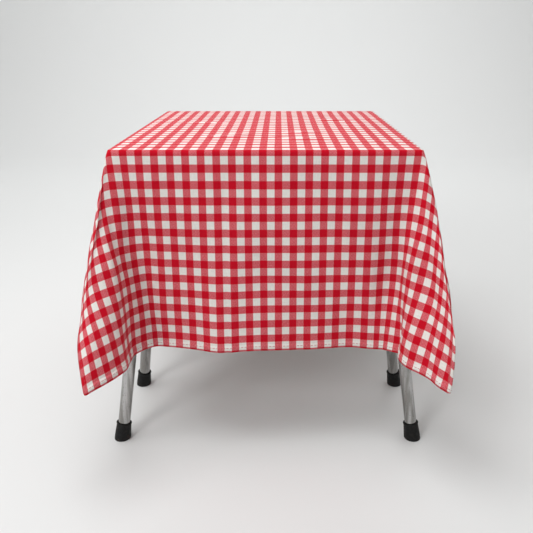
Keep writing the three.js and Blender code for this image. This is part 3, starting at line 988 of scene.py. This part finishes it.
def stay_link(name, middle, out, side, sign):
    """A stay, its pin into the leg, and on the outer stay the rivet through both."""
    outer = out < 0
    pin = at_height(leg_line(middle, out, sign), stay_height)
    leg_across = leg_radius / math.cos(math.atan((foot_x - leg_top_x) / pivot_height))
    outer_face = abs(pin.x) - leg_across - stay_leg_gap - (0.0 if outer else stay_thickness + fit_gap)
    inward = Vector((0.0, -out * math.cos(stay_sag), -math.sin(stay_sag)))
    depth = Vector((1.0, 0.0, 0.0))
    across = depth.cross(inward)
    low_x = outer_face - stay_thickness if sign > 0 else -outer_face
    holes = [] if outer else [(stay_length, 0.0, eye_radius)]
    bm = plate(round_ended_outline(stay_length, stay_half_width), holes, stay_thickness)
    turn = Matrix((inward, across, depth)).transposed().to_4x4()
    bmesh.ops.transform(bm, matrix=Matrix.Translation((low_x, pin.y, pin.z)) @ turn, verts=bm.verts)
    middle_x = sign * (outer_face - stay_thickness / 2)
    inner_x = sign * (outer_face - stay_thickness)
    pin_start = (middle_x, pin.y, pin.z)
    pin_end = (sign * (outer_face + stay_pin_reach), pin.y, pin.z)
    joined(bm, rivet_bar(pin_start, pin_end, stay_pin_radius,
                         [((inner_x, pin.y, pin.z), (inner_x - sign, pin.y, pin.z))]))
    if outer:
        knuckle = Vector((0.0, pin.y, pin.z)) + inward * stay_length
        far_x = sign * (outer_face - 2 * stay_thickness - 2 * fit_gap)
        face_x = sign * outer_face
        heads = [((far_x, knuckle.y, knuckle.z), (far_x - sign, knuckle.y, knuckle.z)),
                 ((face_x, knuckle.y, knuckle.z), (face_x + sign, knuckle.y, knuckle.z))]
        joined(bm, rivet_bar((middle_x, knuckle.y, knuckle.z), (far_x, knuckle.y, knuckle.z),
                             rivet_radius, heads))
    return bm


for name, middle, out in frames():
    for side, sign in SIDES.items():
        link = stay_link(name, middle, out, side, sign)
        stay = softened(new_piece(f"{name}_stay_link_{side}", link, zinc))
        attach(stay, f"{name}_stays")
        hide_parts(f"{name}_stay_{side}")


pivot_tube_radius = 0.012
pivot_tube_wall = 0.002
bracket_round = 0.008


def pivot_pipe(name, middle, out):
    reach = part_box(f"{name}_pivot_tube")[1][0]
    y = middle + out * pivot_offset
    profile = tube_profile(2 * reach, pivot_tube_radius, pivot_tube_wall)
    start = Vector((-reach, y, pivot_height))
    end = Vector((reach, y, pivot_height))
    return turned(profile, start, end, rounding=0.0004)


def bracket_plate(node, middle):
    """An upright plate on the end of the bearer, with its lower corners rounded off."""
    low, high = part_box(node)
    steps = 6
    outline = [(high[1], high[2]), (low[1], high[2])]
    for centre, first in ((low[1] + bracket_round, math.pi), (high[1] - bracket_round, 1.5 * math.pi)):
        for step in range(steps + 1):
            angle = first + math.pi / 2 * step / steps
            y = centre + bracket_round * math.cos(angle)
            outline.append((y, low[2] + bracket_round + bracket_round * math.sin(angle)))
    hole = pivot_tube_radius + fit_gap
    holes = [(middle + out * pivot_offset, pivot_height, hole) for out in (-1, 1)]
    bm = plate(outline, holes, high[0] - low[0])
    turn = Matrix(((0, 0, 1, low[0]), (1, 0, 0, 0), (0, 1, 0, 0), (0, 0, 0, 1)))
    bmesh.ops.transform(bm, matrix=turn, verts=bm.verts)
    bmesh.ops.recalc_face_normals(bm, faces=bm.faces)
    screw_x = high[0] if high[0] > 0 else low[0]
    way = math.copysign(1.0, screw_x)
    for y in (middle - 0.018, middle + 0.018):
        at = Vector((screw_x, y, pivot_height - 0.006))
        dome = [(0.0, 0.0), (0.0065, 0.0), (0.0055, 0.0016), (0.003, 0.0026), (0.0, 0.0028)]
        joined(bm, turned(dome, at, at + Vector((way, 0.0, 0.0)), steps=24))
    return bm


def hex_bolt(node):
    """A hexagon bolt with a washer under its head."""
    low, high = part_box(node)
    x, y = (low[0] + high[0]) / 2, (low[1] + high[1]) / 2
    head_radius = (high[0] - low[0]) / 2
    head_height = 0.005
    washer = 0.0010
    bm = bmesh.new()
    bmesh.ops.create_circle(
        bm, cap_ends=True, segments=6, radius=head_radius * 0.94, matrix=Matrix.Translation((x, y, low[2]))
    )
    grown = bmesh.ops.extrude_face_region(bm, geom=bm.faces[:])["geom"]
    lifted = [element for element in grown if isinstance(element, bmesh.types.BMVert)]
    bmesh.ops.translate(bm, verts=lifted, vec=(0.0, 0.0, head_height - washer))
    bmesh.ops.recalc_face_normals(bm, faces=bm.faces)
    bmesh.ops.bevel(
        bm, geom=bm.edges[:], affect="EDGES", offset=0.0005, segments=2, profile=0.5, material=-1
    )
    base = Vector((x, y, low[2] + head_height - washer))
    up = base + Vector((0, 0, 1))
    joined(bm, turned([(0.0, 0.0), (head_radius, 0.0), (head_radius, washer), (0.0, washer)],
                      base, up, steps=32, rounding=0.0002))
    shank = high[2] - base.z
    joined(bm, turned([(0.0, 0.0), (0.004, 0.0), (0.004, shank), (0.0, shank)], base, up, steps=24))
    return bm


for name, middle, out in frames():
    pipe = softened(new_piece(f"{name}_pivot_pipe", pivot_pipe(name, middle, out), zinc))
    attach(pipe, "table_top")
    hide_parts(f"{name}_pivot_tube")

for trestle, way in TRESTLES.items():
    middle = way * trestle_offset
    for side in SIDES:
        parts = {
            f"{trestle}_bracket": bracket_plate(f"{trestle}_bracket_{side}", middle),
            f"{trestle}_bolt": hex_bolt(f"{trestle}_bolt_{side}"),
        }
        for part, bm in parts.items():
            shape = "plate" if part.endswith("bracket") else "hex"
            piece = softened(new_piece(f"{part}_{shape}_{side}", bm, zinc))
            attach(piece, "table_top")
            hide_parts(f"{part}_{side}")


# ---------------------------------------------------------------- bearers
# A planed beech beam across the head of each trestle, with eased edges and a clear varnish.
# Bolts through it hold the board.

bearer_round = 0.003


def bearer_beam(node):
    low, high = (Vector(corner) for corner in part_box(node))
    bm = bmesh.new()
    bmesh.ops.create_cube(bm, size=1.0)
    bmesh.ops.scale(bm, vec=high - low, verts=bm.verts)
    bmesh.ops.translate(bm, vec=(low + high) / 2, verts=bm.verts)
    bmesh.ops.bevel(
        bm, geom=bm.edges[:], affect="EDGES", offset=bearer_round, segments=3, profile=0.5, material=-1
    )
    return bm


# Varnished beech: warm pinkish tan with long straight grain and short dark flecks, 2 mm to 5 mm
# long, under a thin satin varnish.
def varnished_beech():
    material, shader = new_material("clear_varnished_planed_beech")
    place = add_node(material, "ShaderNodeTexCoord").outputs["Object"]
    along_grain = add_node(material, "ShaderNodeMapping", {"Vector": place, "Scale": (0.06, 1.0, 1.0)})
    rings = add_node(
        material, "ShaderNodeTexNoise", {"Vector": along_grain.outputs[0], "Scale": 130.0, "Detail": 4.0}
    )
    fleck_place = add_node(material, "ShaderNodeMapping", {"Vector": place, "Scale": (0.28, 1.0, 1.0)})
    flecks = add_node(
        material, "ShaderNodeTexNoise", {"Vector": fleck_place.outputs[0], "Scale": 900.0, "Detail": 1.0}
    )
    dark = add_node(
        material, "ShaderNodeMapRange", {0: flecks.outputs["Fac"], 1: 0.62, 2: 0.7, 3: 0.0, 4: 0.6}
    )
    colour = colour_mix(material, rings.outputs["Fac"], to_linear("B98D5E"), to_linear("D6B084"))
    colour = colour_mix(material, dark.outputs[0], colour, to_linear("8E623A"))
    material.node_tree.links.new(colour, shader.inputs["Base Color"])
    shader.inputs["Roughness"].default_value = 0.38
    shader.inputs["Coat Weight"].default_value = 0.25
    shader.inputs["Coat Roughness"].default_value = 0.3
    bump = add_node(
        material, "ShaderNodeBump", {"Strength": 0.12, "Distance": 0.0004, "Height": rings.outputs["Fac"]}
    )
    material.node_tree.links.new(bump.outputs["Normal"], shader.inputs["Normal"])
    return material


beech = varnished_beech()
for trestle in TRESTLES:
    beam = softened(new_piece(f"{trestle}_beech_beam", bearer_beam(f"{trestle}_bearer"), beech))
    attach(beam, "table_top")
    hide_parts(f"{trestle}_bearer")
